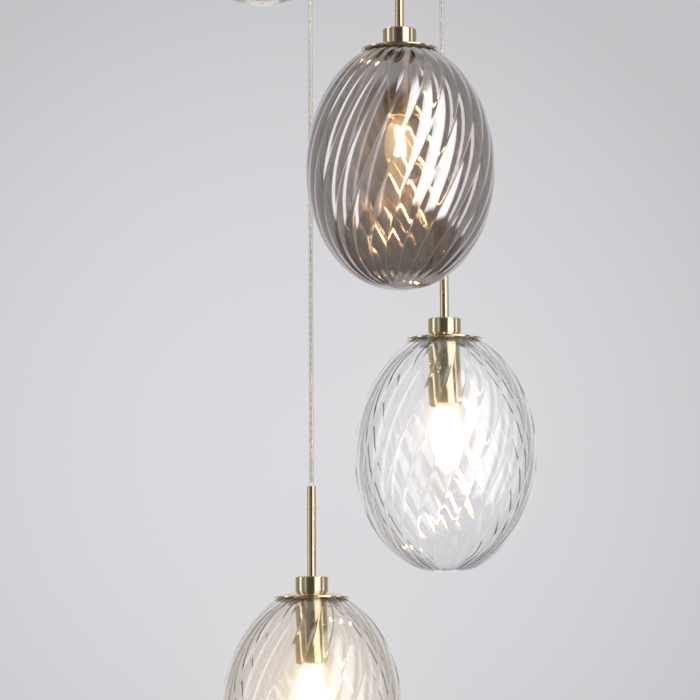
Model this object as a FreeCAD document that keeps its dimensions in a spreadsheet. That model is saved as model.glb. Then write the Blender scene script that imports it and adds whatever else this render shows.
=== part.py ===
import FreeCAD, Part

import math
import os

import Sketcher

# A cluster pendant: four ribbed glass lamps hang on plain cables from one round ceiling canopy, each lower than the
# last as they go round. The origin is on the ceiling, at the middle of the canopy, and everything hangs below it.
# Sizes are in millimetres.

SIZES = {
    # where the lamps hang
    "ring_radius": 110.0,
    "cable_1": 155.0,
    "cable_2": 475.0,
    "cable_3": 765.0,
    "cable_4": 1045.0,
    "cable_diameter": 5.0,
    # canopy and what it hides
    "canopy_diameter": 300.0,
    "canopy_height": 28.0,
    "canopy_wall": 1.2,
    "canopy_edge": 5.0,
    "bracket_width": 26.0,
    "bracket_wall": 2.5,
    "bracket_lug": 17.0,
    "bracket_corner": 3.0,
    "slot_spacing": 90.0,
    "slot_length": 22.0,
    "slot_width": 5.2,
    "supply_hole": 14.0,
    "supply_offset": 76.0,
    "side_screw_drop": 10.0,
    "side_screw_diameter": 4.0,
    "side_screw_head": 9.0,
    "side_screw_head_height": 4.5,
    "side_screw_length": 9.0,
    "block_length": 46.0,
    "block_width": 20.0,
    "block_height": 15.0,
    "block_well": 5.0,
    "block_pitch": 13.0,
    "earth_screw_offset": 72.0,
    "earth_screw_diameter": 4.0,
    "earth_head": 7.0,
    "earth_head_height": 2.6,
    "earth_washer": 9.0,
    # cord grips
    "grip_thread": 10.0,
    "grip_flange": 16.0,
    "grip_drop": 20.0,
    "grip_tip": 11.4,
    "grip_collar": 4.0,
    "grip_flare": 4.5,
    "grip_flare_width": 2.3,
    "grip_pivot": 3.0,
    "grip_tail": 7.5,
    "grip_nut": 14.0,
    "grip_nut_height": 3.5,
    "wire_gap": 1.5,
    "wire_level": 11.0,
    "wire_bend": 10.0,
    # rod, collar and dish
    "rod_diameter": 10.0,
    "rod_wall": 1.0,
    "rod_length": 100.0,
    "rod_tail": 48.0,
    "relief_length": 14.0,
    "relief_bore": 3.4,
    "collar_diameter": 37.0,
    "collar_height": 16.2,
    "collar_edge": 1.5,
    "collar_wall": 2.0,
    "dish_diameter": 84.0,
    "dish_rise": 7.5,
    "dish_wall": 1.2,
    "dish_arc": 112.0,
    # glass shade
    "shade_diameter": 200.0,
    "shade_crown": 135.0,
    "shade_bowl": 132.0,
    "shade_fullness": 2.08,
    "shade_wall": 3.2,
    "neck_bore": 64.0,
    "neck_lip": 4.0,
    "lip_rise": 0.75,
    "base_diameter": 37.0,
    "rib_count": 24,
    "rib_depth": 1.6,
    "rib_twist": 0.26,
    # spring clip, cup, nut and lampholder
    "clip_wall": 0.8,
    "clip_hub": 24.0,
    "claw_width": 10.0,
    "claw_depth": 14.0,
    "claw_bend": 2.0,
    "claw_count": 3,
    "claw_root": 10.0,
    "cup_diameter": 37.0,
    "cup_length": 77.0,
    "cup_wall": 1.0,
    "nut_size": 14.0,
    "nut_height": 4.0,
    "nut_flange": 19.0,
    "washer_height": 1.0,
    "holder_hub": 16.0,
    "holder_hub_height": 12.0,
    "holder_diameter": 27.0,
    "holder_height": 44.5,
    "holder_recess": 1.0,
    # bulb
    "cap_diameter": 13.8,
    "cap_length": 22.0,
    "cap_depth": 1.8,
    "contact_height": 3.5,
    "contact_diameter": 4.8,
    "bulb_diameter": 35.0,
    "bulb_neck": 14.6,
    "bulb_shoulder": 31.7,
    "bulb_flame": 45.0,
    "bulb_wall": 0.9,
    # clearances
    "fit": 0.05,
    "seat": 0.3,
    "thread_play": 0.15,
}

# each lamp's number, its cable's length and the way it lies from the middle of the canopy, corner by corner
LAMPS = (
    (1, "sizes.cable_1", (-1, -1)),
    (2, "sizes.cable_2", (1, -1)),
    (3, "sizes.cable_3", (1, 1)),
    (4, "sizes.cable_4", (-1, 1)),
)

# levels along a lamp, below the top of its rod
COLLAR_TOP = "sizes.rod_length"
DISH_TOP = f"({COLLAR_TOP} + sizes.collar_height)"
CLIP_TOP = f"({DISH_TOP} + sizes.dish_wall)"
CUP_TOP = f"({CLIP_TOP} + sizes.clip_wall)"
DISH_RIM = f"({DISH_TOP} + sizes.dish_rise)"
LIP_TOP = f"({DISH_RIM} - sizes.lip_rise)"
CUP_RIM = f"({CUP_TOP} + sizes.cup_length)"
WASHER_TOP = f"({CUP_TOP} + sizes.cup_wall)"
HOLDER_RIM = f"({CUP_RIM} - sizes.holder_recess)"
CAP_RIM = f"({HOLDER_RIM} + sizes.cap_depth)"
GRIP_MOUTH = "(sizes.canopy_height + sizes.grip_drop)"
CABLE_TOP = f"({GRIP_MOUTH} - sizes.grip_pivot)"

ROD_HOLE = "(sizes.rod_diameter / 2 + sizes.fit)"
EARTH_SCREW_HEIGHT = (
    "(sizes.earth_head_height + sizes.washer_height + sizes.bracket_wall)"
)

LEFT, RIGHT = "left", "right"
RING_TURN = 45.0
CROWN_STEPS, BOWL_STEPS = 7, 10
SEAM = 0.001

doc = FreeCAD.newDocument("cluster_pendant")
sheet = doc.addObject("Spreadsheet::Sheet", "sizes")
parts = []


def fill_sheet():
    """Writes each driving size beside its name, and gives the cell that name."""
    for row, (name, value) in enumerate(SIZES.items(), start=1):
        sheet.set(f"A{row}", name)
        sheet.set(f"B{row}", str(value))
        sheet.setAlias(f"B{row}", name)
    doc.recompute()


def number(expression):
    """An expression over the sheet, as a plain number."""
    value = sheet.evalExpression(expression)
    return float(getattr(value, "Value", value))


def origin_of(body, role):
    """One of a body's own origin planes or axes."""
    return next(f for f in body.Origin.OriginFeatures if f.Role == role)


def place(part, x="0", y="0", z="0", turn=0.0):
    """Moves a sub-part to its place, which stays bound to the sheet."""
    part.Placement = FreeCAD.Placement(
        FreeCAD.Vector(0, 0, 0), FreeCAD.Rotation(FreeCAD.Vector(0, 0, 1), turn)
    )
    part.setExpression("Placement.Base.x", x)
    part.setExpression("Placement.Base.y", y)
    part.setExpression("Placement.Base.z", z)


def new_body(label):
    """A sub-part's body, which is exported under its label."""
    body = doc.addObject("PartDesign::Body", label)
    body.Label = label
    parts.append(body)
    return body


def new_sketch(body, name, plane):
    """A sketch on one of the body's own origin planes."""
    sketch = body.newObject("Sketcher::SketchObject", name)
    sketch.AttachmentSupport = (origin_of(body, plane), [""])
    sketch.MapMode = "FlatFace"
    return sketch


def pin(sketch, geometry, point, across, up):
    """Holds one end of a line or an arc, or a circle's centre, at a place bound to the sheet."""
    for kind, expression in (("DistanceX", across), ("DistanceY", up)):
        index = sketch.addConstraint(
            Sketcher.Constraint(kind, -1, 1, geometry, point, number(expression))
        )
        sketch.setExpression(f"Constraints[{index}]", expression)


def arc_between(start, end, side, radius):
    """An arc that bulges to the left or to the right of the way from start to end."""
    ahead = end - start
    reach = math.sqrt(radius**2 - (ahead.Length / 2) ** 2)
    across = FreeCAD.Vector(ahead.y, -ahead.x, 0).normalize()
    centre = (start + end) * 0.5 + across * (reach if side == LEFT else -reach)
    first, last = (end, start) if side == LEFT else (start, end)
    angles = [math.atan2(p.y - centre.y, p.x - centre.x) for p in (first, last)]
    if angles[1] < angles[0]:
        angles[1] += 2 * math.pi
    circle = Part.Circle(centre, FreeCAD.Vector(0, 0, 1), radius)
    return Part.ArcOfCircle(circle, *angles)


def draw(sketch, corners, arcs=None, closed=True):
    """An outline through corners, each a pair of expressions. A side that arcs names, by the number of its first
    corner, is an arc: it gives the side of the way that the arc bulges to, and its radius."""
    arcs = arcs or {}
    base = sketch.GeometryCount
    points = [FreeCAD.Vector(number(x), number(y), 0) for x, y in corners]
    ends = []
    sides = len(points) if closed else len(points) - 1
    for i, start in enumerate(points[:sides]):
        end = points[(i + 1) % len(points)]
        if i in arcs:
            side, radius = arcs[i]
            sketch.addGeometry(arc_between(start, end, side, number(radius)), False)
            ends.append((2, 1) if side == LEFT else (1, 2))
        else:
            sketch.addGeometry(Part.LineSegment(start, end), False)
            ends.append((1, 2))
    for i in range(sides if closed else sides - 1):
        j = (i + 1) % sides
        joint = Sketcher.Constraint("Coincident", base + i, ends[i][1], base + j, ends[j][0])
        sketch.addConstraint(joint)
    for i, (across, up) in enumerate(corners[:sides]):
        pin(sketch, base + i, ends[i][0], across, up)
    if not closed:
        pin(sketch, base + sides - 1, ends[-1][1], *corners[-1])
    for i, (_, radius) in arcs.items():
        index = sketch.addConstraint(Sketcher.Constraint("Radius", base + i, number(radius)))
        sketch.setExpression(f"Constraints[{index}]", radius)


def draw_circle(sketch, across, up, radius):
    """A circle whose centre and radius are bound to the sheet."""
    circle = Part.Circle(FreeCAD.Vector(0, 0, 0), FreeCAD.Vector(0, 0, 1), number(radius))
    index = sketch.addGeometry(circle, False)
    pin(sketch, index, 3, across, up)
    size = sketch.addConstraint(Sketcher.Constraint("Radius", index, number(radius)))
    sketch.setExpression(f"Constraints[{size}]", radius)


def revolve(body, sketch, axis="V_Axis"):
    """Turns an outline about an axis of its sketch, as on a lathe."""
    turned = body.newObject("PartDesign::Revolution", body.Label + "_turned")
    turned.Profile = sketch
    turned.ReferenceAxis = (sketch, [axis])
    turned.Angle = 360
    return turned


def turned_part(label, corners, arcs=None):
    """A piece made on a lathe, a spinning former or a blowing iron: one outline turned about its own axis."""
    body = new_body(label)
    sketch = new_sketch(body, label + "_outline", "XZ_Plane")
    draw(sketch, corners, arcs)
    revolve(body, sketch)
    return body


def pad(body, name, sketch, length, both_ways=False):
    """Raises an outline by a length bound to the sheet."""
    solid = body.newObject("PartDesign::Pad", name)
    solid.Profile = sketch
    solid.Midplane = both_ways
    solid.setExpression("Length", length)
    return solid


def tube(label, inside, outside, height):
    """A straight tube, ring or bush."""
    corners = [(inside, "0"), (outside, "0"), (outside, height), (inside, height)]
    return turned_part(label, corners)


def pocket(body, name, sketch, depth=None):
    """Cuts an outline right through the body, or up to a depth, and makes sure that it cut something."""
    doc.recompute()
    before = body.Shape.Volume
    cut = body.newObject("PartDesign::Pocket", name)
    cut.Profile = sketch
    if depth is None:
        cut.Type = "ThroughAll"
        cut.Midplane = True
    else:
        cut.Reversed = True
        cut.setExpression("Length", depth)
    doc.recompute()
    if not cut.Shape.Volume < before:
        raise ValueError(f"{name} cuts nothing")
    return cut


def ring_of(body, feature, count):
    """Repeats a feature evenly round the body's upright axis."""
    pattern = body.newObject("PartDesign::PolarPattern", feature.Name + "_ring")
    pattern.Originals = [feature]
    pattern.Axis = (origin_of(body, "Z_Axis"), [""])
    pattern.Angle = 360
    pattern.setExpression("Occurrences", count)
    body.Tip = pattern
    return pattern


class Facets:
    """A closed surface of flat triangles between level rings of corners."""

    def __init__(self):
        self.corners, self.triangles = [], []

    def ring(self, radii, height, start):
        """Adds one corner for each radius, evenly round from the angle start, and returns their numbers."""
        first = len(self.corners)
        for i, radius in enumerate(radii):
            angle = start + 2 * math.pi * i / len(radii)
            corner = FreeCAD.Vector(radius * math.cos(angle), radius * math.sin(angle), height)
            self.corners.append(corner)
        return list(range(first, len(self.corners)))

    def band(self, ring, other):
        """Joins two rings of as many corners. The face looks outwards if the first ring is the upper one."""
        for i in range(len(ring)):
            j = (i + 1) % len(ring)
            self.triangles.append((ring[i], other[i], other[j]))
            self.triangles.append((ring[i], other[j], ring[j]))

    def floor(self, ring):
        """Fills a ring from its middle. The face looks up if the ring runs anticlockwise."""
        height = self.corners[ring[0]].z
        middle = len(self.corners)
        self.corners.append(FreeCAD.Vector(0, 0, height))
        for i in range(len(ring)):
            self.triangles.append((middle, ring[i], ring[(i + 1) % len(ring)]))

    def rim(self, outside, inside):
        """Joins a ring to one inside it at the same height, which has a corner for each few of the outer one's."""
        share = len(outside) // len(inside)
        for i, corner in enumerate(inside):
            reach = [outside[(share * i + k) % len(outside)] for k in range(share + 1)]
            for one, two in zip(reach, reach[1:]):
                self.triangles.append((corner, one, two))
            self.triangles.append((corner, reach[-1], inside[(i + 1) % len(inside)]))

    def solid(self):
        """The solid inside the surface, with triangles that lie in one plane joined."""
        shell = Part.Shape()
        shell.makeShapeFromMesh((self.corners, self.triangles), SEAM)
        return Part.makeSolid(shell).removeSplitter()


# ---- canopy -------------------------------------------------------------------------------------------------------


def canopy():
    """A spun pan, open to the ceiling, with a hole for each cord grip and one in its side for each side screw."""
    radius = "sizes.canopy_diameter / 2"
    corner = f"({radius} - sizes.canopy_edge)"
    inside = f"({radius} - sizes.canopy_wall)"
    body = turned_part(
        "canopy",
        [
            ("0", "0"),
            (corner, "0"),
            (radius, "sizes.canopy_edge"),
            (radius, "sizes.canopy_height"),
            (inside, "sizes.canopy_height"),
            (inside, "sizes.canopy_edge"),
            (corner, "sizes.canopy_wall"),
            ("0", "sizes.canopy_wall"),
        ],
        {
            1: (RIGHT, "sizes.canopy_edge"),
            5: (LEFT, "(sizes.canopy_edge - sizes.canopy_wall)"),
        },
    )
    grips = new_sketch(body, "canopy_grip_hole", "XY_Plane")
    for across, up in ((1, 1), (-1, 1), (-1, -1), (1, -1)):
        draw_circle(
            grips,
            f"{across} * sizes.ring_radius * sqrt(0.5)",
            f"{up} * sizes.ring_radius * sqrt(0.5)",
            "sizes.grip_thread / 2 + sizes.thread_play",
        )
    pocket(body, "canopy_grip_holes", grips)
    sides = new_sketch(body, "canopy_side_hole", "YZ_Plane")
    draw_circle(
        sides,
        "0",
        "sizes.canopy_height - sizes.side_screw_drop",
        "sizes.side_screw_diameter / 2 + sizes.thread_play",
    )
    pocket(body, "canopy_side_holes", sides)
    place(body, z="-sizes.canopy_height")


def ceiling_bracket():
    """A steel strip that is screwed to the ceiling through two slots, bent down at both ends to take the canopy."""
    body = new_body("ceiling_bracket")
    inside = "(sizes.canopy_diameter / 2 - sizes.canopy_wall - sizes.seat)"
    reach = f"sqrt({inside}^2 - (sizes.bracket_width / 2)^2)"
    wall = "sizes.bracket_wall"
    corner = "sizes.bracket_corner"
    side = new_sketch(body, "bracket_side", "XZ_Plane")
    right = [
        (f"{reach}", "-sizes.bracket_lug"),
        (f"{reach}", f"-{corner}"),
        (f"{reach} - {corner}", "0"),
    ]
    under = [
        (f"{reach} - {corner}", f"-{wall}"),
        (f"{reach} - {wall}", f"-{corner}"),
        (f"{reach} - {wall}", "-sizes.bracket_lug"),
    ]
    mirror = [[(f"-({x})", z) for x, z in reversed(half)] for half in (right, under)]
    corners = right + mirror[0] + mirror[1] + under
    outer, inner = (RIGHT, corner), (LEFT, f"({corner} - {wall})")
    draw(side, corners, {1: outer, 3: outer, 7: inner, 9: inner})
    pad(body, "bracket_strip", side, "sizes.bracket_width", both_ways=True)
    plan = new_sketch(body, "bracket_holes", "XY_Plane")
    half_slot = "(sizes.slot_length - sizes.slot_width) / 2"
    half_width = "sizes.slot_width / 2"
    slot_end = (RIGHT, f"({half_width} * 1.001)")
    for middle in ("-sizes.slot_spacing / 2", "sizes.slot_spacing / 2"):
        draw(
            plan,
            [
                (f"{middle} - {half_slot}", f"-{half_width}"),
                (f"{middle} + {half_slot}", f"-{half_width}"),
                (f"{middle} + {half_slot}", f"{half_width}"),
                (f"{middle} - {half_slot}", f"{half_width}"),
            ],
            {1: slot_end, 3: slot_end},
        )
    draw_circle(plan, "-sizes.supply_offset", "0", "sizes.supply_hole / 2")
    draw_circle(plan, "sizes.earth_screw_offset", "0", "sizes.earth_screw_diameter / 2 + sizes.fit")
    pocket(body, "bracket_openings", plan)
    ends = new_sketch(body, "bracket_end_holes", "YZ_Plane")
    draw_circle(ends, "0", "-sizes.side_screw_drop", "sizes.side_screw_diameter / 2 + sizes.fit")
    pocket(body, "bracket_side_holes", ends)
    place(body)


def side_screws():
    """Two thumb screws through the canopy's side, which hold it to the bracket's ends."""
    body = new_body("side_screws")
    sketch = new_sketch(body, "side_screw_outline", "XZ_Plane")
    sketch.setExpression("AttachmentOffset.Base.y", "-sizes.side_screw_drop")
    under_head = "sizes.canopy_diameter / 2 + sizes.fit"
    tip = f"{under_head} - sizes.side_screw_length"
    top = f"{under_head} + sizes.side_screw_head_height"
    draw(
        sketch,
        [
            (tip, "0"),
            (top, "0"),
            (top, "sizes.side_screw_head / 2"),
            (under_head, "sizes.side_screw_head / 2"),
            (under_head, "sizes.side_screw_diameter / 2"),
            (tip, "sizes.side_screw_diameter / 2"),
        ],
    )
    screw = revolve(body, sketch, "H_Axis")
    ring_of(body, screw, "2")
    place(body)


def terminal_block():
    """A three-way porcelain block under the middle of the bracket, with wire ways across it and wells for screws."""
    body = new_body("terminal_block")
    plan = new_sketch(body, "block_plan", "XY_Plane")
    half_length, half_width = "sizes.block_length / 2", "sizes.block_width / 2"
    draw(
        plan,
        [
            (f"-{half_length}", f"-{half_width}"),
            (half_length, f"-{half_width}"),
            (half_length, half_width),
            (f"-{half_length}", half_width),
        ],
    )
    pad(body, "block_solid", plan, "sizes.block_height")
    ways = new_sketch(body, "block_ways", "XZ_Plane")
    wells = new_sketch(body, "block_wells", "XY_Plane")
    for way in (-1, 0, 1):
        across = f"{way} * sizes.block_pitch"
        draw_circle(ways, across, "sizes.block_height * 0.5", "sizes.block_well / 2")
        draw_circle(wells, across, "0", "sizes.block_well / 2")
    pocket(body, "block_wire_ways", ways)
    pocket(body, "block_screw_wells", wells, depth="sizes.block_height * 0.5")
    place(body, z="-sizes.bracket_wall - sizes.block_height", turn=RING_TURN)


def earth_screw():
    """A brass screw with its washer, up through the bracket, for the earth wire."""
    body = turned_part(
        "earth_screw",
        [
            ("0", "0"),
            ("sizes.earth_head / 2", "0"),
            ("sizes.earth_head / 2", "sizes.earth_head_height"),
            ("sizes.earth_washer / 2", "sizes.earth_head_height"),
            ("sizes.earth_washer / 2", "sizes.earth_head_height + sizes.washer_height"),
            ("sizes.earth_screw_diameter / 2", "sizes.earth_head_height + sizes.washer_height"),
            ("sizes.earth_screw_diameter / 2", f"{EARTH_SCREW_HEIGHT}"),
            ("0", f"{EARTH_SCREW_HEIGHT}"),
        ],
    )
    place(body, x="sizes.earth_screw_offset", z=f"-{EARTH_SCREW_HEIGHT}")


def cord_grips():
    """Four brass cord grips, each screwed into the canopy from below, with a flared mouth that lets the cable lean."""
    body = new_body("cord_grips")
    sketch = new_sketch(body, "cord_grip_outline", "XZ_Plane")
    sketch.setExpression("AttachmentOffset.Base.x", "sizes.ring_radius")
    bore = "sizes.cable_diameter / 2 + sizes.fit"
    top = "sizes.grip_drop + sizes.grip_tail"
    draw(
        sketch,
        [
            (f"{bore} + sizes.grip_flare_width", "0"),
            ("sizes.grip_tip / 2", "0"),
            ("sizes.grip_flange / 2", "sizes.grip_drop - sizes.grip_collar"),
            ("sizes.grip_flange / 2", "sizes.grip_drop"),
            ("sizes.grip_thread / 2", "sizes.grip_drop"),
            ("sizes.grip_thread / 2", top),
            (bore, top),
            (bore, "sizes.grip_flare"),
        ],
    )
    ring_of(body, revolve(body, sketch), "4")
    place(body, z=f"-{GRIP_MOUTH}", turn=RING_TURN)


def hexagon(sketch, across, size):
    """A hexagon of that size across its flats, with its middle on the sketch's level axis."""
    reach = f"{size} / sqrt(3)"
    corners = [
        (f"{across} + {reach} * cos({60 * i} deg)", f"{reach} * sin({60 * i} deg)")
        for i in range(6)
    ]
    draw(sketch, corners)


def cord_grip_nuts():
    """The four hexagon nuts inside the canopy, one on each cord grip."""
    body = new_body("cord_grip_nuts")
    sketch = new_sketch(body, "grip_nut_outline", "XY_Plane")
    hexagon(sketch, "sizes.ring_radius", "sizes.grip_nut")
    draw_circle(sketch, "sizes.ring_radius", "0", "sizes.grip_thread / 2 + sizes.fit")
    ring_of(body, pad(body, "grip_nut", sketch, "sizes.grip_nut_height"), "4")
    place(body, z="sizes.canopy_wall - sizes.canopy_height", turn=RING_TURN)


def canopy_wiring():
    """The cables' ends inside the canopy: up through each cord grip, over and straight in to the terminal block."""
    body = new_body("canopy_wiring")
    start, level = f"sizes.wire_gap - {CABLE_TOP}", "-sizes.wire_level"
    bend = "sizes.wire_bend"
    for plane, side in (("XZ_Plane", "length"), ("YZ_Plane", "width")):
        name = f"wire_{side}"
        section = new_sketch(body, name + "_section", "XY_Plane")
        section.setExpression("AttachmentOffset.Base.z", start)
        middle = ("sizes.ring_radius", "0") if side == "length" else ("0", "sizes.ring_radius")
        draw_circle(section, *middle, "sizes.cable_diameter / 2")
        route = new_sketch(body, name + "_route", plane)
        ends = [
            ("sizes.ring_radius", start),
            ("sizes.ring_radius", f"{level} - {bend}"),
            (f"sizes.ring_radius - {bend}", level),
            (f"sizes.block_{side} / 2 + sizes.seat", level),
        ]
        draw(route, ends, {1: (RIGHT, f"({bend} * 1.0001)")}, closed=False)
        wire = body.newObject("PartDesign::AdditivePipe", name)
        wire.Profile = section
        wire.Spine = route
        body.Tip = wire
        ring_of(body, wire, "2")
    place(body, turn=RING_TURN)


# ---- one lamp -----------------------------------------------------------------------------------------------------


def cable(name, drop):
    """The clear sheathed cable that the lamp hangs on, pulled straight by its weight."""
    part = doc.addObject("Part::Cylinder", name + "_cable")
    part.Label = name + "_cable"
    part.setExpression("Radius", "sizes.cable_diameter / 2")
    part.setExpression("Height", drop.length)
    parts.append(part)
    drop.hang(part, "0")


def strain_relief(name, drop):
    """The nylon bush in the top of the rod that grips the cable's sheath and lets its cores through."""
    outside = "sizes.rod_diameter / 2 - sizes.rod_wall - sizes.fit"
    body = tube(name + "_strain_relief", "sizes.relief_bore / 2", outside, "sizes.relief_length")
    drop.hang(body, "sizes.relief_length")


def rod(name, drop):
    """The brass tube above the collar. Its lower end carries the thread that the whole lamp is clamped on."""
    height = "sizes.rod_length + sizes.rod_tail"
    body = tube(name + "_rod", "sizes.rod_diameter / 2 - sizes.rod_wall", "sizes.rod_diameter / 2", height)
    drop.hang(body, height)


def collar(name, drop):
    """The turned brass cap between rod and dish, hollow below, with a rounded top edge."""
    outside, wall = "sizes.collar_diameter / 2", "sizes.collar_wall"
    under = f"sizes.collar_height - {wall}"
    body = turned_part(
        name + "_collar",
        [
            (f"{outside} - {wall}", "0"),
            (outside, "0"),
            (outside, "sizes.collar_height - sizes.collar_edge"),
            (f"{outside} - sizes.collar_edge", "sizes.collar_height"),
            (ROD_HOLE, "sizes.collar_height"),
            (ROD_HOLE, under),
            (f"{outside} - {wall}", under),
        ],
        {2: (RIGHT, "(sizes.collar_edge * 1.0001)")},
    )
    drop.hang(body, DISH_TOP)


def dish(name, drop):
    """The spun brass cap over the glass's neck, flat under the collar and falling away in a shallow curve."""
    inside, outside = "sizes.collar_diameter / 2", "sizes.dish_diameter / 2"
    under = "sizes.dish_rise - sizes.dish_wall"
    body = turned_part(
        name + "_dish",
        [
            (ROD_HOLE, under),
            (inside, under),
            (outside, "0"),
            (outside, "sizes.dish_wall"),
            (inside, "sizes.dish_rise"),
            (ROD_HOLE, "sizes.dish_rise"),
        ],
        {1: (LEFT, "sizes.dish_arc"), 3: (RIGHT, "sizes.dish_arc")},
    )
    drop.hang(body, DISH_RIM)


def gasket(name, drop):
    """The silicone ring between the dish and the lip of the glass."""
    outside = "(sizes.neck_bore / 2 + sizes.neck_lip)"
    slope = "(sizes.dish_rise - sizes.dish_wall) / (sizes.dish_diameter / 2 - sizes.collar_diameter / 2)"
    room = f"(sizes.dish_diameter / 2 - {outside}) * {slope} - sizes.lip_rise"
    body = tube(name + "_gasket", "sizes.neck_bore / 2 + sizes.seat", outside, room)
    drop.hang(body, LIP_TOP)


def glass_face(across, crown, bowl, top, bottom):
    """The radius and height of each ring down one face of the glass, from radius top at the neck to radius bottom."""
    power = 2 / number("sizes.shade_fullness")
    first, last = math.acos(top / across), math.acos((bottom / across) ** (1 / power))
    above = [first * (1 - i / CROWN_STEPS) for i in range(CROWN_STEPS)]
    below = [last * i / BOWL_STEPS for i in range(BOWL_STEPS + 1)]
    neck = [(across * math.cos(a), crown * math.sin(a)) for a in above]
    body = [(across * math.cos(a) ** power, -bowl * math.sin(a) ** power) for a in below]
    return neck + body


def shade(name, drop):
    """The blown glass: a tall round body with twisted round ribs, open at its neck, on a small flat base.

    Each rib has three corners in every ring outside, the first of them down in its groove, and one inside, under the
    middle of the rib. The grooves run out at the neck and at the base.
    """
    radius, crown, bowl, wall, depth = (
        number("sizes." + size)
        for size in ("shade_diameter / 2", "shade_crown", "shade_bowl", "shade_wall", "rib_depth")
    )
    ribs = int(number("sizes.rib_count"))
    twist = math.radians(number("sizes.rib_twist"))
    half_rib = math.pi / ribs
    bore = number("sizes.neck_bore / 2") / math.cos(half_rib)
    base = number("sizes.base_diameter / 2")
    outer = glass_face(radius, crown, bowl, number("sizes.neck_bore / 2 + sizes.neck_lip"), base)
    inner = glass_face(radius - wall, crown - wall, bowl - wall, bore, base - wall)
    lip_level = outer[0][1]
    inner.insert(0, (bore, lip_level))
    glass = Facets()
    outside = []
    for reach, height in outer:
        groove = 0.0 if (reach, height) in (outer[0], outer[-1]) else depth
        outside.append(glass.ring([reach - groove, reach, reach] * ribs, height, twist * height))
    inside = [
        glass.ring([reach] * ribs, height, twist * height + half_rib) for reach, height in inner
    ]
    for upper, lower in zip(outside, outside[1:]):
        glass.band(upper, lower)
    for upper, lower in zip(inside, inside[1:]):
        glass.band(lower, upper)
    glass.rim(outside[0], inside[0])
    glass.floor(inside[-1])
    glass.floor(outside[-1][::-1])
    part = doc.addObject("Part::Feature", name + "_shade")
    part.Label = name + "_shade"
    part.Shape = glass.solid()
    parts.append(part)
    drop.hang(part, f"{LIP_TOP} + {lip_level}")


def spring_clip(name, drop):
    """The spring steel clip under the dish. Its three claws press on the inside of the glass's neck."""
    body = new_body(name + "_clip")
    hub = new_sketch(body, name + "_clip_hub", "XY_Plane")
    draw_circle(hub, "0", "0", "sizes.clip_hub / 2")
    draw_circle(hub, "0", "0", ROD_HOLE)
    pad(body, name + "_clip_plate", hub, "sizes.clip_wall")
    wall = "sizes.clip_wall"
    claw = "sqrt((sizes.neck_bore / 2 - sizes.seat)^2 - (sizes.claw_width / 2)^2)"
    flat, bend = "sizes.collar_diameter / 2", "sizes.claw_bend"
    fall = (
        "(sizes.dish_rise - sizes.dish_wall) / (sizes.dish_diameter / 2 - sizes.collar_diameter / 2)"
        f" * ({claw} - {bend} - {flat})"
    )
    side = new_sketch(body, name + "_claw_side", "XZ_Plane")
    root = "sizes.claw_root"
    draw(
        side,
        [
            (root, "0"),
            (flat, "0"),
            (f"{claw} - {bend}", f"-({fall})"),
            (f"{claw} - {wall}", f"-({fall}) - {bend}"),
            (f"{claw} - {wall}", "-sizes.claw_depth"),
            (claw, "-sizes.claw_depth"),
            (claw, f"{wall} - ({fall}) - {bend}"),
            (f"{claw} - {bend}", f"{wall} - ({fall})"),
            (flat, wall),
            (root, wall),
        ],
    )
    claws = pad(body, name + "_claw", side, "sizes.claw_width", both_ways=True)
    ring_of(body, claws, "sizes.claw_count")
    drop.hang(body, CUP_TOP)


def holder_cup(name, drop):
    """The brass tube round the lampholder, closed at the top and open below."""
    outside, wall = "sizes.cup_diameter / 2", "sizes.cup_wall"
    body = turned_part(
        name + "_cup",
        [
            (f"{outside} - {wall}", "0"),
            (outside, "0"),
            (outside, "sizes.cup_length"),
            (ROD_HOLE, "sizes.cup_length"),
            (ROD_HOLE, f"sizes.cup_length - {wall}"),
            (f"{outside} - {wall}", f"sizes.cup_length - {wall}"),
        ],
    )
    drop.hang(body, CUP_RIM)


def lock_nut(name, drop):
    """The flanged nut that clamps cup, clip, dish and collar together on the rod."""
    body = new_body(name + "_lock_nut")
    flange = new_sketch(body, name + "_nut_flange", "XY_Plane")
    draw_circle(flange, "0", "0", "sizes.nut_flange / 2")
    draw_circle(flange, "0", "0", ROD_HOLE)
    pad(body, name + "_flange", flange, "sizes.washer_height")
    sketch = new_sketch(body, name + "_nut_outline", "XY_Plane")
    hexagon(sketch, "0", "sizes.nut_size")
    draw_circle(sketch, "0", "0", ROD_HOLE)
    nut = pad(body, name + "_nut", sketch, "sizes.nut_height")
    nut.Reversed = True
    drop.hang(body, f"{WASHER_TOP} + sizes.washer_height")


def lampholder(name, drop):
    """The porcelain lampholder: a hub on the rod's end, and a threaded way below for the bulb's cap."""
    sleeve = "sizes.cap_diameter / 2 + sizes.thread_play"
    depth = "sizes.cap_length + sizes.contact_height - sizes.cap_depth + sizes.seat"
    top = "sizes.holder_height + sizes.holder_hub_height"
    floor = f"{HOLDER_RIM} - sizes.rod_length - sizes.rod_tail - sizes.seat"
    body = turned_part(
        name + "_lampholder",
        [
            (sleeve, "0"),
            ("sizes.holder_diameter / 2", "0"),
            ("sizes.holder_diameter / 2", "sizes.holder_height"),
            ("sizes.holder_hub / 2", "sizes.holder_height"),
            ("sizes.holder_hub / 2", top),
            (ROD_HOLE, top),
            (ROD_HOLE, floor),
            ("0", floor),
            ("0", depth),
            (sleeve, depth),
        ],
    )
    drop.hang(body, HOLDER_RIM)


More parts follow.
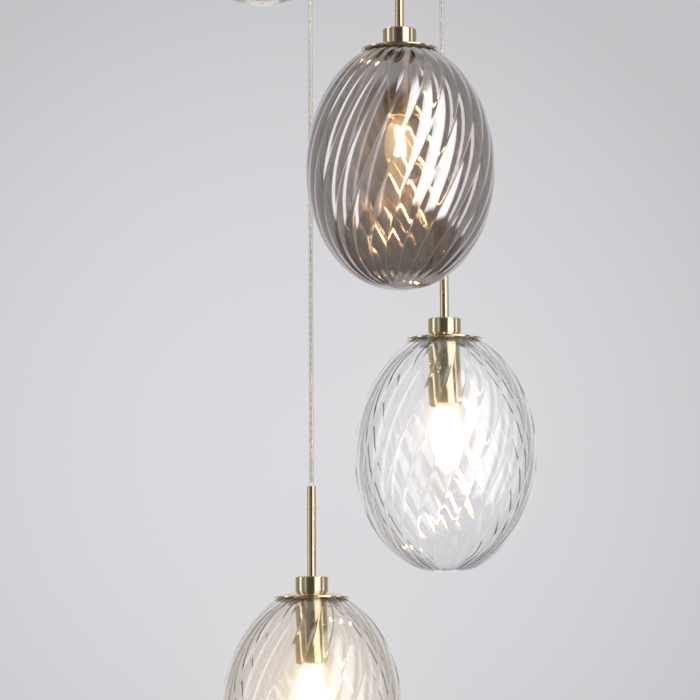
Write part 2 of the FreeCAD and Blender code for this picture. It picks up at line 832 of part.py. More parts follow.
def bulb_cap(name, drop):
    """The bulb's screw cap, with its glass insulator and centre contact."""
    body = turned_part(
        name + "_bulb_cap",
        [
            ("0", "0"),
            ("sizes.cap_diameter / 2", "0"),
            ("sizes.cap_diameter / 2", "sizes.cap_length"),
            ("sizes.contact_diameter / 2", "sizes.cap_length + sizes.contact_height / 2"),
            ("sizes.contact_diameter / 2", "sizes.cap_length + sizes.contact_height"),
            ("0", "sizes.cap_length + sizes.contact_height"),
        ],
    )
    drop.hang(body, CAP_RIM)


def bulb_glass(name, drop):
    """The candle bulb's thin glass, which swells below the cap and runs to a point."""
    wide, neck, wall = "sizes.bulb_diameter / 2", "sizes.bulb_neck / 2", "sizes.bulb_wall"
    shoulder, flame = "sizes.bulb_shoulder", "sizes.bulb_flame"
    inner = f"({wide} - {wall})"
    shoulder_arc = f"((({wide} - {neck})^2 + {shoulder}^2) / (2 * ({wide} - {neck})))"
    flame_arc = f"((({wide})^2 + {flame}^2) / (2 * {wide}))"
    inner_arc = f"(({inner}^2 + ({flame} - {wall})^2) / (2 * {inner}))"
    body = turned_part(
        name + "_bulb_glass",
        [
            ("0", f"-{flame}"),
            (wide, "0"),
            (neck, shoulder),
            (f"{neck} - {wall}", shoulder),
            (inner, "0"),
            ("0", f"{wall} - {flame}"),
        ],
        {
            0: (RIGHT, flame_arc),
            1: (RIGHT, shoulder_arc),
            3: (LEFT, shoulder_arc),
            4: (LEFT, inner_arc),
        },
    )
    drop.hang(body, f"{CAP_RIM} + {shoulder}")


class Drop:
    """Where one lamp hangs: the way it lies from the middle, and the length of its cable."""

    def __init__(self, length, way):
        self.length = length
        self.x, self.y = (f"{side} * sqrt(0.5) * sizes.ring_radius" for side in way)

    def hang(self, part, level):
        """Places a piece with its own zero that far below the top of the rod."""
        place(part, self.x, self.y, f"-({CABLE_TOP} + {self.length} + {level})")


def lamp(number_of, length, way):
    """Every piece of one lamp, from its cable down to its bulb."""
    name, drop = f"lamp_{number_of}", Drop(length, way)
    for piece in (
        cable,
        strain_relief,
        rod,
        collar,
        dish,
        gasket,
        shade,
        spring_clip,
        holder_cup,
        lock_nut,
        lampholder,
        bulb_cap,
        bulb_glass,
    ):
        piece(name, drop)


def write_parts():
    """Stops if a feature failed or a piece is no sound solid, and writes each piece to its own file."""
    doc.recompute()
    for thing in doc.Objects:
        if "Invalid" in thing.State or "Error" in thing.State:
            raise ValueError(f"{thing.Label} failed")
    os.makedirs("parts", exist_ok=True)
    for part in parts:
        if part.Shape.isNull() or not part.Shape.isValid() or not part.Shape.Solids:
            raise ValueError(f"{part.Label} is not a sound solid")
        part.Shape.exportStep(f"parts/{part.Label}.step")
    print(len(parts), "pieces")


fill_sheet()
canopy()
ceiling_bracket()
side_screws()
terminal_block()
earth_screw()
cord_grips()
cord_grip_nuts()
canopy_wiring()
for lamp_number, cable_length, direction in LAMPS:
    lamp(lamp_number, cable_length, direction)
write_parts()
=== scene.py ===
import math

import bpy
import numpy as np
from mathutils import Matrix, Vector


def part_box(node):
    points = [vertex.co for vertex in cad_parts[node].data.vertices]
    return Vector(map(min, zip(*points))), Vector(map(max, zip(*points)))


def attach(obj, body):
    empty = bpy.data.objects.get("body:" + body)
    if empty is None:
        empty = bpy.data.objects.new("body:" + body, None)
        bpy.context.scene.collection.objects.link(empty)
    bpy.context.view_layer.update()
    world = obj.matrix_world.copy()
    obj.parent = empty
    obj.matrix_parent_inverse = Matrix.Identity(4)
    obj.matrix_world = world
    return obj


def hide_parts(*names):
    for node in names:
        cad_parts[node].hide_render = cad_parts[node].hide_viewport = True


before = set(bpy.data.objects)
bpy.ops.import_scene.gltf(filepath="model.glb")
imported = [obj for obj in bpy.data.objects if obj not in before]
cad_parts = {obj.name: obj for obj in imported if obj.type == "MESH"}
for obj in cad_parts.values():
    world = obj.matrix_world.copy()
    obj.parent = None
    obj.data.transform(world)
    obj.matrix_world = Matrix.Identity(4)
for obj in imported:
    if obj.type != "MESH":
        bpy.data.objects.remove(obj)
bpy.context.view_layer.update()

# A cluster pendant of four ribbed blown-glass lamps, each on a clear cable from one round ceiling canopy.
# Sizes are in metres, in the frame's own axes: the ceiling is z = 0 and everything hangs below it.

# ---- canopy and what it hides ------------------------------------------------------------------------
# The canopy is a spun brass pan, satin brushed on the lathe and lacquered. Grips and screws are turned from
# the same brass, and bracket, terminal block and wires are hidden inside. All of them are the frame's own
# shapes, and only get their finish here.

MM = 0.001
LAMP_NUMBERS = (1, 2, 3, 4)


def linear(code):
    """A colour written as sRGB hex, as the linear colour that shaders take."""
    parts = [int(code[i : i + 2], 16) / 255 for i in (1, 3, 5)]
    return [c / 12.92 if c <= 0.04045 else ((c + 0.055) / 1.055) ** 2.4 for c in parts] + [1.0]


def add(tree, kind, inputs=None, **settings):
    """Adds a node. Each input takes a value, or the output socket that it is linked from."""
    node = tree.nodes.new("ShaderNode" + kind)
    for name, value in settings.items():
        setattr(node, name, value)
    for name, value in (inputs or {}).items():
        if isinstance(value, bpy.types.NodeSocket):
            tree.links.new(value, node.inputs[name])
        else:
            node.inputs[name].default_value = value
    return node


def new_material(name):
    """An empty material and its output node."""
    material = bpy.data.materials.new(name)
    material.use_nodes = True
    material.node_tree.nodes.clear()
    return material, material.node_tree, add(material.node_tree, "OutputMaterial")


def finish_node(name, material):
    """Gives a piece of the frame its material."""
    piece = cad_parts[name]
    piece.data.materials.clear()
    piece.data.materials.append(material)


def lamp_axis(number):
    """Where a lamp's axis is, from the middle of its cable."""
    low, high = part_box(f"lamp_{number}_cable")
    return (low.x + high.x) / 2, (low.y + high.y) / 2


# The real brush marks are finer than this. They are drawn this far apart so that they show.
BRUSH_SPACING = 0.4 * MM
BRUSH_EDGES = (0.35, 0.65)
BRUSH_RELIEF = 0.05 * MM
BRUSH_STRENGTH = 0.06
BRUSH_STRETCH = 0.6
QUARTER_TURN = 0.25
BRASS_FACE = "#E7D6B3"
BRASS_GRAIN = "#D9C69E"
BRASS_GLOSS = (0.13, 0.19)
TARNISH_SPACING = 16.667 * MM


def satin_brass(name, reach):
    """Satin brushed brass, pale champagne under clear lacquer. The brush ran round the turned piece, so that
    highlights spread into upright bands. reach is how far out the lamps' axes are, nought for the canopy."""
    material, tree, output = new_material(name)
    place = add(tree, "TexCoord").outputs["Object"]
    folded = add(tree, "VectorMath", {0: place}, operation="ABSOLUTE").outputs[0]
    centred = add(tree, "VectorMath", {0: folded, 1: (reach, reach, 0)}, operation="SUBTRACT").outputs[0]
    level = add(tree, "VectorMath", {0: centred, 1: (1, 1, 0)}, operation="MULTIPLY").outputs[0]
    radius = add(tree, "VectorMath", {0: level}, operation="LENGTH").outputs["Value"]
    height = add(tree, "SeparateXYZ", {0: place}).outputs["Z"]
    along = add(tree, "CombineXYZ", {"X": radius, "Z": height}).outputs[0]
    marks = {"Vector": along, "Scale": 1 / BRUSH_SPACING, "Detail": 3.0}
    grain = add(tree, "TexNoise", marks).outputs["Fac"]
    patches = {"Vector": place, "Scale": 1 / TARNISH_SPACING, "Detail": 2.0}
    tarnish = add(tree, "TexNoise", patches).outputs["Fac"]
    edges = {"Value": grain, "From Min": BRUSH_EDGES[0], "From Max": BRUSH_EDGES[1]}
    shade = add(tree, "MapRange", edges).outputs[0]
    colour = add(tree, "Mix", data_type="RGBA")
    tree.links.new(shade, colour.inputs["Factor"])
    colour.inputs["A"].default_value = linear(BRASS_FACE)
    colour.inputs["B"].default_value = linear(BRASS_GRAIN)
    gloss = {"Value": tarnish, "To Min": BRASS_GLOSS[0], "To Max": BRASS_GLOSS[1]}
    rough = add(tree, "MapRange", gloss).outputs[0]
    relief = {"Height": grain, "Strength": BRUSH_STRENGTH, "Distance": BRUSH_RELIEF}
    bump = add(tree, "Bump", relief).outputs[0]
    tangent = add(tree, "Tangent", direction_type="RADIAL", axis="Z").outputs[0]
    metal = add(
        tree,
        "BsdfPrincipled",
        {
            "Base Color": colour.outputs["Result"],
            "Metallic": 1.0,
            "Roughness": rough,
            "Normal": bump,
            "Tangent": tangent,
            "Anisotropic": BRUSH_STRETCH,
            "Anisotropic Rotation": QUARTER_TURN,
        },
    )
    tree.links.new(metal.outputs[0], output.inputs["Surface"])
    return material


GLOSS_SPREAD = (0.85, 1.15)
RELIEF_STRENGTH = 0.4


def even_finish(name, colour, roughness, spacing, metallic=0.0, relief=0.0):
    """A finish of one colour, whose gloss and fine relief vary over the given spacing."""
    material, tree, output = new_material(name)
    place = add(tree, "TexCoord").outputs["Object"]
    mottle = add(tree, "TexNoise", {"Vector": place, "Scale": 1 / spacing, "Detail": 3.0}).outputs["Fac"]
    duller, glossier = GLOSS_SPREAD[1] * roughness, GLOSS_SPREAD[0] * roughness
    gloss = {"Value": mottle, "To Min": glossier, "To Max": duller}
    rough = add(tree, "MapRange", gloss).outputs[0]
    height = {"Height": mottle, "Strength": RELIEF_STRENGTH, "Distance": relief}
    bump = add(tree, "Bump", height).outputs[0]
    settings = {"Base Color": linear(colour), "Metallic": metallic, "Roughness": rough, "Normal": bump}
    surface = add(tree, "BsdfPrincipled", settings)
    tree.links.new(surface.outputs[0], output.inputs["Surface"])
    return material


# Zinc plate is a cool grey with a blurred gloss, glazed porcelain is off-white with a sharp one, and the
# wires' PVC is milky with a low one.
canopy_brass = satin_brass("satin_brass_canopy", 0.0)
zinc = even_finish("zinc_plate", "#B4B8BD", 0.36, 3 * MM, metallic=1.0, relief=0.02 * MM)
porcelain = even_finish("glazed_porcelain", "#E6E2D7", 0.12, 9 * MM, relief=0.05 * MM)
wiring_pvc = even_finish("wiring_pvc", "#D9D2CD", 0.3, 4 * MM, relief=0.03 * MM)
for part in ("canopy", "side_screws", "earth_screw", "cord_grips", "cord_grip_nuts"):
    finish_node(part, canopy_brass)
finish_node("ceiling_bracket", zinc)
finish_node("terminal_block", porcelain)
finish_node("canopy_wiring", wiring_pvc)

# ---- cables ------------------------------------------------------------------------------------------
# Each lamp hangs on a clear PVC cable, pulled dead straight by the glass. A bare copper core and a tinned one
# lie twisted together inside it and show through the sheath.

CLEAR_PVC = "#FFFDFB"
SHEATH_POINTS = 6
CORE_REACH = 0.55 * MM
CORE_RADIUS = 0.92 * CORE_REACH
CORE_PITCH = 17 * MM
CORE_STEPS = 8
CORE_END_GAP = 2 * MM
STRAND_SPACING = 0.6 * MM
STRAND_RELIEF = 0.2 * MM


def clear_pvc(name):
    """Extruded clear PVC has a slightly soft gloss, and its round face makes the cores look wider."""
    material, tree, output = new_material(name)
    tint = linear(CLEAR_PVC)
    settings = {"Base Color": tint, "Roughness": 0.12, "IOR": 1.53, "Transmission Weight": 1.0}
    plastic = add(tree, "BsdfPrincipled", settings).outputs[0]
    clear = add(tree, "BsdfTransparent", {"Color": tint}).outputs[0]
    shadow = add(tree, "LightPath").outputs["Is Shadow Ray"]
    surface = add(tree, "MixShader", {0: shadow, 1: plastic, 2: clear})
    tree.links.new(surface.outputs[0], output.inputs["Surface"])
    return material


def stranded_wire(name, colour):
    """Drawn wire, bunched. Its fine strands break up the gloss, so it looks pale and matt in the sheath."""
    material, tree, output = new_material(name)
    place = add(tree, "TexCoord").outputs["Object"]
    strands = add(tree, "TexNoise", {"Vector": place, "Scale": 1 / STRAND_SPACING}).outputs["Fac"]
    bump = add(tree, "Bump", {"Height": strands, "Strength": 0.5, "Distance": STRAND_RELIEF}).outputs[0]
    settings = {"Base Color": linear(colour), "Roughness": 0.5, "Normal": bump}
    wire = add(tree, "BsdfPrincipled", settings)
    tree.links.new(wire.outputs[0], output.inputs["Surface"])
    return material


def wire_curve(name, points, radius, material):
    """A round wire or sheath along a smooth line that follows its control points."""
    data = bpy.data.curves.new(name, "CURVE")
    data.dimensions = "3D"
    spline = data.splines.new("NURBS")
    spline.points.add(len(points) - 1)
    for point, place in zip(spline.points, points):
        point.co = (*place, 1.0)
    spline.order_u = 3
    spline.use_endpoint_u = True
    data.bevel_depth = radius
    data.bevel_resolution = 5
    data.resolution_u = 4
    data.use_fill_caps = True
    data.materials.append(material)
    piece = bpy.data.objects.new(name, data)
    bpy.context.scene.collection.objects.link(piece)
    return piece


sheath_pvc = clear_pvc("clear_pvc")
copper = stranded_wire("bare_copper", "#F8EAE2")
tinned = stranded_wire("tinned_copper", "#F8F7F5")
for number in LAMP_NUMBERS:
    low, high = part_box(f"lamp_{number}_cable")
    x, y = lamp_axis(number)
    radius, length = (high.x - low.x) / 2, high.z - low.z
    levels = np.linspace(high.z, low.z, SHEATH_POINTS)
    sheath = wire_curve(f"lamp_{number}_sheath", [(x, y, z) for z in levels], radius, sheath_pvc)
    turns = length / CORE_PITCH
    cores = []
    for core, metal, start in (("copper", copper, 0.0), ("tinned", tinned, math.pi)):
        points = []
        for step in range(int(turns * CORE_STEPS) + 1):
            angle = start + 2 * math.pi * step / CORE_STEPS
            down = (length - 2 * CORE_END_GAP) * step / (turns * CORE_STEPS)
            level = high.z - CORE_END_GAP - down
            points.append((x + CORE_REACH * math.cos(angle), y + CORE_REACH * math.sin(angle), level))
        cores.append(wire_curve(f"lamp_{number}_{core}_core", points, CORE_RADIUS, metal))
        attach(cores[-1], f"lamp_{number}_cord")
    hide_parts(f"lamp_{number}_cable")
    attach(sheath, f"lamp_{number}_cord")

# ---- rods, collars, dishes and cups ------------------------------------------------------------------
# Rod, collar and cup are turned from brass tube and bar, and the dish is spun. A nylon bush in the rod's top
# grips the cable. The nut on the rod's lower end clamps cup, spring clip, dish and collar. A soft gasket lies
# on the glass's lip.

# Moulded nylon is milky and dull, silicone is a soft pale grey, and spring steel is dark with a sharp gloss.
nylon = even_finish("moulded_nylon", "#E4E2DA", 0.45, 2 * MM, relief=0.02 * MM)
silicone = even_finish("silicone_rubber", "#DCDBD7", 0.5, 1.5 * MM, relief=0.02 * MM)
spring_steel = even_finish("bright_spring_steel", "#9EA1A6", 0.24, 1.2 * MM, metallic=1.0, relief=0.01 * MM)
lamp_brass = satin_brass("satin_brass_lamp", abs(lamp_axis(1)[0]))
for number in LAMP_NUMBERS:
    for part in ("rod", "collar", "dish", "cup"):
        finish_node(f"lamp_{number}_{part}", lamp_brass)
    finish_node(f"lamp_{number}_strain_relief", nylon)
    finish_node(f"lamp_{number}_gasket", silicone)
    finish_node(f"lamp_{number}_clip", spring_steel)
    finish_node(f"lamp_{number}_lock_nut", zinc)

# ---- lampholders -------------------------------------------------------------------------------------
# Each lampholder is glazed porcelain, like the terminal block. It is screwed onto the end of the rod, up
# inside the cup, and the bulb's cap goes into its mouth.

for number in LAMP_NUMBERS:
    finish_node(f"lamp_{number}_lampholder", porcelain)

# ---- glass shades ------------------------------------------------------------------------------------
# Each shade is blown into a ribbed mould and twisted while soft, so its 24 round ribs run down to the base in
# a spiral between narrow grooves. The lip is cut flat. Two are pale champagne, one is clear, and one is smoke
# with a mirror film.

RIBS = 24
RIB_DEPTH = 1.6 * MM
RIB_TWIST = math.radians(0.26) / MM
# how deep each face's ribs are, of the whole depth, and how far across the half rib its round back goes
OUTER_RIB = (1.0, 0.87)
INNER_RIB = (0.92, 0.77)
GROOVE_START = 0.9
GLASS_WALL = 3.2 * MM
CROWN = 135 * MM
FULLNESS = 2.08
LIP_RADIUS = 36 * MM
BORE_RADIUS = 32 * MM
FOOT_RADIUS = 2 * MM
# the ribs die out towards the middle of the base
FADE_START = 16.65 * MM
FADE_REACH = 22 * MM
# places across one rib, closest together in the groove
RIB_STEPS = (0.0, 0.02, 0.04, 0.08, 0.14, 0.23, 0.36, 0.5, 0.64, 0.77, 0.86, 0.92, 0.96, 0.98)
RING_STEPS = 60
SHARP_EDGE = math.radians(50)
GLASS_IOR = 1.5
METAL_FILM = "#E9E7E6"
FILM_GLOSS = 0.015
# the matt grey of the painted shade down in the grooves of the glass
GROOVE_SHADE_GREY = "#A9A6A3"


def glass_face(across, top, bottom, crown, bowl):
    """Points down one face of the glass: an ellipse above the widest level, a slightly fuller curve below."""
    power = 2 / FULLNESS
    first, last = math.acos(top / across), math.acos((bottom / across) ** (1 / power))
    above = np.linspace(first, 0, RING_STEPS, endpoint=False)
    below = np.linspace(0, last, RING_STEPS)
    neck = [(across * math.cos(a), crown * math.sin(a)) for a in above]
    return neck + [(across * math.cos(a) ** power, -bowl * math.sin(a) ** power) for a in below]


def sink(side, share, rounding):
    """How far a face sinks at a place across a rib, which is 0 in its middle and 1 at its side. The rib is a
    parabola as far as rounding, then it levels out into the groove. share makes the whole rib shallower."""
    past = max(0.0, side - rounding)
    bend = 1 - past / (2 * (1 - rounding))
    return share * (min(side, rounding) ** 2 + 2 * rounding * past * bend)


def shade_mesh(name, number):
    """The whole glass, with a flat lip. Its outer face takes the first material and the rest the second. The
    groove attribute rises to 1 down in the grooves."""
    low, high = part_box(f"lamp_{number}_shade")
    x, y = lamp_axis(number)
    widest = (high.x - low.x) / 2
    lip_level = CROWN * math.sqrt(1 - (LIP_RADIUS / widest) ** 2)
    middle = high.z - lip_level
    bowl = middle - low.z
    outer = glass_face(widest, LIP_RADIUS, FOOT_RADIUS, CROWN, bowl)
    hollow = [size - GLASS_WALL for size in (widest, CROWN, bowl)]
    inner = glass_face(hollow[0], BORE_RADIUS, FOOT_RADIUS, hollow[1], hollow[2])
    inner[0] = (inner[0][0], lip_level)
    steps = RIB_STEPS * RIBS
    angles = [2 * math.pi * (rib + step) / RIBS for rib in range(RIBS) for step in RIB_STEPS]
    vertices, faces, grooves = [], [], []

    def ring(radius, level, rib):
        start = len(vertices)
        fade = min(1.0, max(0.0, (radius - FADE_START) / FADE_REACH))
        for angle, step in zip(angles, steps):
            side = abs(2 * step - 1)
            reach = radius - RIB_DEPTH * fade * sink(side, *rib)
            grooves.append(fade * max(0.0, (side - GROOVE_START) / (1 - GROOVE_START)))
            turn = angle + RIB_TWIST * level
            vertices.append((x + reach * math.cos(turn), y + reach * math.sin(turn), middle + level))
        return start

    def skin(a, b):
        for i in range(len(steps)):
            j = (i + 1) % len(steps)
            faces.append((a + i, b + i, b + j, a + j))

    outside = [ring(r, z, OUTER_RIB) for r, z in outer]
    for a, b in zip(outside, outside[1:]):
        skin(a, b)
    faces.append([outside[-1] + i for i in range(len(steps))])
    outer_faces = len(faces)
    inside = [ring(r, z, INNER_RIB) for r, z in inner]
    for a, b in zip(inside, inside[1:]):
        skin(b, a)
    skin(inside[0], outside[0])
    faces.append([inside[-1] + i for i in reversed(range(len(steps)))])
    mesh = bpy.data.meshes.new(name)
    mesh.from_pydata(vertices, [], faces)
    mesh.polygons.foreach_set("use_smooth", [True] * len(faces))
    inner_faces = len(faces) - outer_faces
    mesh.polygons.foreach_set("material_index", [0] * outer_faces + [1] * inner_faces)
    mesh.set_sharp_from_angle(angle=SHARP_EDGE)
    mesh.attributes.new("groove", "FLOAT", "POINT").data.foreach_set("value", grooves)
    piece = bpy.data.objects.new(name, mesh)
    bpy.context.scene.collection.objects.link(piece)
    return piece


def blown_glass(name, tint, groove_shade=0.0, film=0.0):
    """Soda-lime glass, tinted in the melt, with clear fire-polished faces. The share of matt grey down in the
    grooves is painted shade that draws them as dark lines, and film is how much light the face sends back. It
    casts only a faint shadow, in its own tint."""
    material, tree, output = new_material(name)
    polish = {"Color": linear(tint), "Roughness": 0.0, "IOR": GLASS_IOR}
    glass = add(tree, "BsdfGlass", polish).outputs[0]
    if film:
        shine = {"Color": linear(METAL_FILM), "Roughness": FILM_GLOSS}
        mirror = add(tree, "BsdfGlossy", shine).outputs[0]
        glass = add(tree, "MixShader", {0: film, 1: glass, 2: mirror}).outputs[0]
    # painted shade: a matt grey down in the grooves draws them as dark lines
    if groove_shade:
        groove = add(tree, "Attribute", attribute_name="groove").outputs["Fac"]
        amount = add(tree, "Math", {0: groove, 1: groove_shade}, operation="MULTIPLY").outputs[0]
        grey = add(tree, "BsdfDiffuse", {"Color": linear(GROOVE_SHADE_GREY)}).outputs[0]
        glass = add(tree, "MixShader", {0: amount, 1: glass, 2: grey}).outputs[0]
    clear = add(tree, "BsdfTransparent", {"Color": linear(tint)}).outputs[0]
    shadow = add(tree, "LightPath").outputs["Is Shadow Ray"]
    surface = add(tree, "MixShader", {0: shadow, 1: glass, 2: clear})
    tree.links.new(surface.outputs[0], output.inputs["Surface"])
    return material


# The smoke glass has a real metal film, which gives it silver streaks. In the other two a small share of one
# stands for the gloss of both faces together.
CHAMPAGNE, CLEAR, SMOKE = "#FDFBF8", "#FFFFFF", "#EAE5E1"
# the first share given to each glass is how much painted shade lies in its grooves, most in the smoke glass
GLASSES = {
    "champagne_glass": (
        blown_glass("champagne_glass", CHAMPAGNE, groove_shade=0.1, film=0.07),
        blown_glass("champagne_glass_inside", CHAMPAGNE),
    ),
    "clear_glass": (
        blown_glass("clear_glass", CLEAR, groove_shade=0.08, film=0.06),
        blown_glass("clear_glass_inside", CLEAR),
    ),
    "smoke_glass": (
        blown_glass("smoke_glass", SMOKE, groove_shade=0.5, film=0.46),
        blown_glass("smoke_glass_inside", SMOKE),
    ),
}
SHADE_GLASS = {1: "champagne_glass", 2: "smoke_glass", 3: "clear_glass", 4: "champagne_glass"}
for number in LAMP_NUMBERS:
    shade = shade_mesh(f"lamp_{number}_ribbed_glass", number)
    for glass in GLASSES[SHADE_GLASS[number]]:
        shade.data.materials.append(glass)
    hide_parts(f"lamp_{number}_shade")
    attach(shade, f"lamp_{number}_glass")

# ---- bulbs -------------------------------------------------------------------------------------------
# Each is an LED candle bulb, lit: a thin glass that glows with the light inside it, sealed to a nickel-plated
# screw cap, round four filament sticks that stand in a ring.

STICKS = 4
STICK_RADIUS = 1.6 * MM
STICK_RING = 4.6 * MM
STICK_TOP = 8 * MM
STICK_LENGTH = 32 * MM
STICK_TIP = 1.2 * MM
STICK_TIP_SHARE = 0.45
STICK_SIDES = 10


def glow(name, colour, strength):
    """A surface that gives light."""
    material, tree, output = new_material(name)
    light = add(tree, "Emission", {"Color": linear(colour), "Strength": strength})
    tree.links.new(light.outputs[0], output.inputs["Surface"])
    return material


def lit_glass(name, colour, strength):
    """Thin glass that lets the light through and scatters some of it, so that it glows itself."""
    material, tree, output = new_material(name)
    light = add(tree, "Emission", {"Color": linear(colour), "Strength": strength}).outputs[0]
    clear = add(tree, "BsdfTransparent").outputs[0]
    surface = add(tree, "AddShader", {0: clear, 1: light})
    tree.links.new(surface.outputs[0], output.inputs["Surface"])
    return material


def filament_mesh(name, x, y, top):
    """The filament sticks, each a thin round rod with its ends drawn in."""
    vertices, faces = [], []
    shares = (STICK_TIP_SHARE, 1.0, 1.0, STICK_TIP_SHARE)
    profile = list(zip(shares, (0.0, STICK_TIP, STICK_LENGTH - STICK_TIP, STICK_LENGTH)))
    for stick in range(STICKS):
        way = 2 * math.pi * (stick + 0.5) / STICKS
        middle = (x + STICK_RING * math.cos(way), y + STICK_RING * math.sin(way))
        start = len(vertices)
        for share, down in profile:
            for side in range(STICK_SIDES):
                angle = 2 * math.pi * side / STICK_SIDES
                across, back = share * STICK_RADIUS * math.cos(angle), share * STICK_RADIUS * math.sin(angle)
                vertices.append((middle[0] + across, middle[1] + back, top - down))
        for level in range(len(profile) - 1):
            ring = start + level * STICK_SIDES
            for side in range(STICK_SIDES):
                a, b = ring + side, ring + (side + 1) % STICK_SIDES
                faces.append((a, a + STICK_SIDES, b + STICK_SIDES, b))
        faces.append([start + side for side in range(STICK_SIDES)])
        end = start + (len(profile) - 1) * STICK_SIDES
        faces.append([end + side for side in reversed(range(STICK_SIDES))])
    mesh = bpy.data.meshes.new(name)
    mesh.from_pydata(vertices, [], faces)
    piece = bpy.data.objects.new(name, mesh)
    bpy.context.scene.collection.objects.link(piece)
    return piece


# The light is warm white. Nickel plate is a slightly yellow grey with a sharp gloss.
bulb_shell = lit_glass("lit_bulb_glass", "#FFDFA6", 0.2)
filament = glow("led_filament", "#FFDDA2", 60.0)
nickel = even_finish("nickel_plate", "#C9C4B8", 0.2, 1.5 * MM, metallic=1.0, relief=0.01 * MM)
for number in LAMP_NUMBERS:
    finish_node(f"lamp_{number}_bulb_glass", bulb_shell)
    finish_node(f"lamp_{number}_bulb_cap", nickel)
    x, y = lamp_axis(number)
    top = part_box(f"lamp_{number}_bulb_glass")[1].z - STICK_TOP
    sticks = filament_mesh(f"lamp_{number}_filaments", x, y, top)
    sticks.data.materials.append(filament)
    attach(sticks, f"lamp_{number}_bulb")

# ---- studio ------------------------------------------------------------------------------------------
# A pale plain room: a broad window of light to the right, narrow ones on both sides, an evenly lit wall
# behind the lamps, dark round the camera, and a plain floor far below. The camera looks up a little.

CAMERA_PLACE = (1.014, -3.0129, -1.3489)
CAMERA_WAY = (-0.31807, 0.93986, 0.12444)
CAMERA_ROLL = math.radians(-0.258)
LENS = 152.37
SENSOR = 36.0
FLOOR_LEVEL = -4.2
FLOOR_SIZE = 16.0

camera_data = bpy.data.cameras.new("camera")
camera_data.lens = LENS
camera_data.sensor_width = SENSOR
camera = bpy.data.objects.new("camera", camera_data)
way = Vector(CAMERA_WAY).to_track_quat("-Z", "Y").to_matrix().to_4x4()
camera.matrix_world = Matrix.Translation(CAMERA_PLACE) @ way @ Matrix.Rotation(CAMERA_ROLL, 4, "Z")
bpy.context.scene.collection.objects.link(camera)
bpy.context.scene.camera = camera

floor_data = bpy.data.meshes.new("floor")
edge = FLOOR_SIZE / 2
corners = [(-edge, -edge), (edge, -edge), (edge, edge), (-edge, edge)]
floor_data.from_pydata([(x, y, FLOOR_LEVEL) for x, y in corners], [], [(0, 1, 2, 3)])
floor_data.materials.append(even_finish("plain_floor", "#C9CACD", 0.7, 300 * MM))
floor = bpy.data.objects.new("floor", floor_data)
bpy.context.scene.collection.objects.link(floor)
floor.visible_glossy = False

# how bright the room is, by degrees round the lamps from the camera to the right
ROOM_LIGHT = (
    (-180, 0.82),
    (-148, 0.78),
    (-138, 0.36),
    (-122, 0.36),
    (-112, 0.3),
    (-92, 0.25),
    (-88, 1.8),
    (-78, 1.8),
    (-74, 0.3),
    (-50, 0.25),
    (-46, 0.7),
    (-40, 0.7),
    (-36, 0.15),
    (-16, 0.06),
    (10, 0.06),
    (20, 0.1),
    (23, 1.7),
    (40, 2.4),
    (60, 2.2),
    (64, 0.15),
    (80, 0.2),
    (83, 1.4),
    (93, 1.4),
    (96, 0.3),
    (120, 0.34),
    (138, 0.38),
    (148, 0.76),
    (180, 0.82),
)
# how bright it is straight up and straight down, and the sine of the angle above the level where each begins
# and where it is whole
OVERHEAD, OVERHEAD_EDGES = 0.5, (0.78, 0.95)
UNDERFOOT, UNDERFOOT_EDGES = 0.05, (-0.42, -0.52)
# the lit wall seen past the lamps: the way to its brightest place, the cosine of the angle from there to
# where it is dimmest, and how bright it is at its dimmest and at its brightest
BACKDROP_WAY = (-0.33517, 0.93776, 0.09089)
BACKDROP_EDGE = 0.985
BACKDROP_LIGHT = (0.566, 0.734)
ROOM_WHITE = "#FBFBFF"

world = bpy.data.worlds.new("studio")
bpy.context.scene.world = world
world.use_nodes = True
tree = world.node_tree
tree.nodes.clear()
direction = add(tree, "TexCoord").outputs["Generated"]
facing = Vector((-CAMERA_WAY[0], -CAMERA_WAY[1], 0)).normalized()
rightward = Vector((-facing.y, facing.x, 0))
towards = add(tree, "VectorMath", {0: direction, 1: facing}, operation="DOT_PRODUCT").outputs["Value"]
aside = add(tree, "VectorMath", {0: direction, 1: rightward}, operation="DOT_PRODUCT").outputs["Value"]
turn = add(tree, "Math", {0: aside, 1: towards}, operation="ARCTAN2").outputs[0]
share = add(tree, "MapRange", {"Value": turn, "From Min": -math.pi, "From Max": math.pi}).outputs[0]
ramp = add(tree, "ValToRGB", {"Fac": share})
ramp.color_ramp.interpolation = "LINEAR"
while len(ramp.color_ramp.elements) < len(ROOM_LIGHT):
    ramp.color_ramp.elements.new(0.5)
for element, (degrees, brightness) in zip(ramp.color_ramp.elements, ROOM_LIGHT):
    element.position = (degrees + 180) / 360
    element.color = (brightness, brightness, brightness, 1)
height = add(tree, "SeparateXYZ", {"Vector": direction}).outputs["Z"]
ends = []
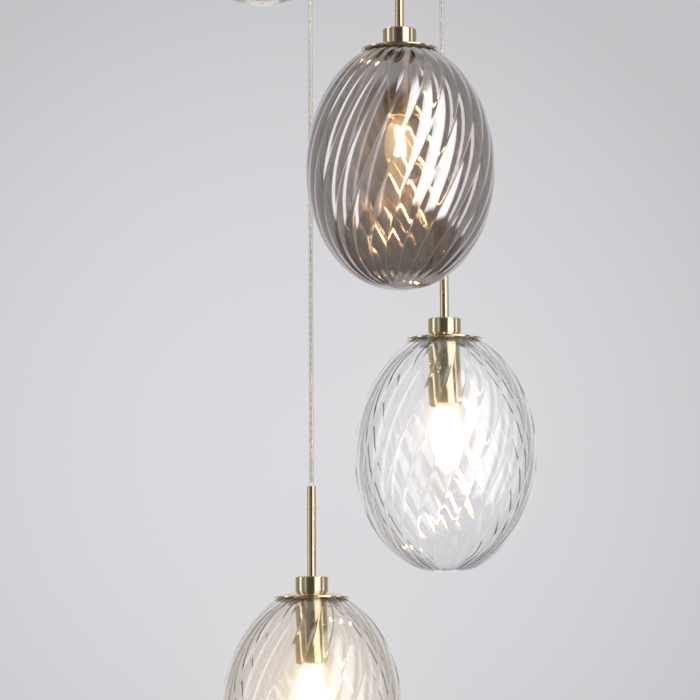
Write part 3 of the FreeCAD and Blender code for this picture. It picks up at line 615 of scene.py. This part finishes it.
for first, last in (OVERHEAD_EDGES, UNDERFOOT_EDGES):
    edges = {"Value": height, "From Min": first, "From Max": last}
    ends.append(add(tree, "MapRange", edges, interpolation_type="SMOOTHSTEP").outputs[0])
round_about = add(tree, "Mix", {"Factor": ends[0], "B": OVERHEAD})
tree.links.new(ramp.outputs["Color"], round_about.inputs["A"])
room = add(tree, "Mix", {"Factor": ends[1], "A": round_about.outputs[0], "B": UNDERFOOT})
ahead = add(tree, "VectorMath", {0: direction, 1: BACKDROP_WAY}, operation="DOT_PRODUCT").outputs["Value"]
dimmer, brighter = BACKDROP_LIGHT
falloff = {"Value": ahead, "From Min": BACKDROP_EDGE, "From Max": 1.0, "To Min": dimmer, "To Max": brighter}
backdrop = add(tree, "MapRange", falloff)
camera_sees = add(tree, "LightPath").outputs["Is Camera Ray"]
amount = add(tree, "Mix", {"Factor": camera_sees, "A": room.outputs[0], "B": backdrop.outputs[0]})
light = add(tree, "Background", {"Color": linear(ROOM_WHITE), "Strength": amount.outputs[0]})
tree.links.new(light.outputs[0], add(tree, "OutputWorld").inputs["Surface"])

# light has to get through eight faces of glass and a cable
GLASS_BOUNCES = 24
MIRROR_BOUNCES = 8
BRIGHTEST_BOUNCE = 40
scene = bpy.context.scene
scene.view_settings.view_transform = "Standard"
scene.cycles.max_bounces = GLASS_BOUNCES
scene.cycles.sample_clamp_indirect = BRIGHTEST_BOUNCE
scene.cycles.transmission_bounces = GLASS_BOUNCES
scene.cycles.glossy_bounces = MIRROR_BOUNCES
scene.cycles.transparent_max_bounces = GLASS_BOUNCES

# the lit bulbs bloom a little, as in a lens
BLOOM = {"Threshold": 1.0, "Strength": 0.35, "Size": 0.3}
scene.use_nodes = True
picture = scene.node_tree
picture.nodes.clear()
layers = picture.nodes.new("CompositorNodeRLayers")
bloom = picture.nodes.new("CompositorNodeGlare")
bloom.glare_type = "BLOOM"
for name, value in BLOOM.items():
    bloom.inputs[name].default_value = value
result = picture.nodes.new("CompositorNodeComposite")
picture.links.new(layers.outputs["Image"], bloom.inputs["Image"])
picture.links.new(bloom.outputs[0], result.inputs["Image"])
